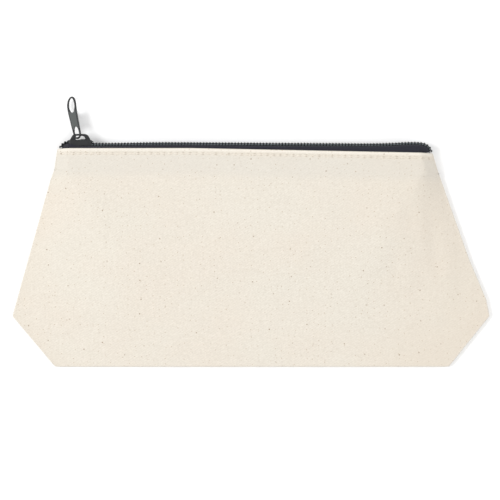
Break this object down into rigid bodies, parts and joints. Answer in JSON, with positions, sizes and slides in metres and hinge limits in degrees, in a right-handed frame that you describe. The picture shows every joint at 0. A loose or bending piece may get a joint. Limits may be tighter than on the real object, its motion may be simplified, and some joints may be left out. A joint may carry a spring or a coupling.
{
  "type": "zip pencil case",
  "caption": "Flat canvas pencil case with flared sides, a folded-in boxed base and a coil zip along the top, lying on its back with the zip closed.",
  "frame": {"origin": "on the back panel's outer face, which rests on the table, midway between the widest corners and midway between the base fold and the hem", "axes": "+X along the zip, from the slider's closed end to the other end; +Y from the base fold to the zip; +Z out of the front panel, away from the table"},
  "size_m": [0.2414, 0.1367, 0.0122],
  "materials": {
    "canvas": "natural unbleached cotton canvas with dark seed specks",
    "sewing_thread": "cream cotton-wrapped thread",
    "zip_tape": "black woven polyester tape",
    "zip_coil": "black nylon, slightly glossy",
    "coil_cord": "black filler cord",
    "coil_stitching": "dark grey chain stitching",
    "slider_enamel": "black baked enamel on die-cast metal"
  },
  "bodies": {
    "pouch": {"front_panel": "canvas", "back_panel": "canvas", "front_topstitch_thread": "sewing_thread", "back_topstitch_thread": "sewing_thread", "left_side_seam_thread": "sewing_thread", "right_side_seam_thread": "sewing_thread", "left_corner_seam_thread": "sewing_thread", "right_corner_seam_thread": "sewing_thread", "base_seam_thread": "sewing_thread", "front_zip_tape": "zip_tape", "back_zip_tape": "zip_tape", "front_coil": "zip_coil", "back_coil": "zip_coil", "front_coil_cord": "coil_cord", "back_coil_cord": "coil_cord", "front_coil_stitching": "coil_stitching", "back_coil_stitching": "coil_stitching"},
    "slider": {"slider_body": "slider_enamel"},
    "puller": {"puller": "slider_enamel"}
  },
  "joints": [
    {"name": "slider_slide", "type": "slide", "parent": "pouch", "child": "slider", "axis": [1, 0, 0], "range_m": [0, 0.158]},
    {"name": "puller_swing", "type": "hinge", "parent": "slider", "child": "puller", "pos_m": [-0.0873, 0.0604, 0.0061], "axis": [0, 0, 1], "range_deg": [-70, 40]}
  ]
}
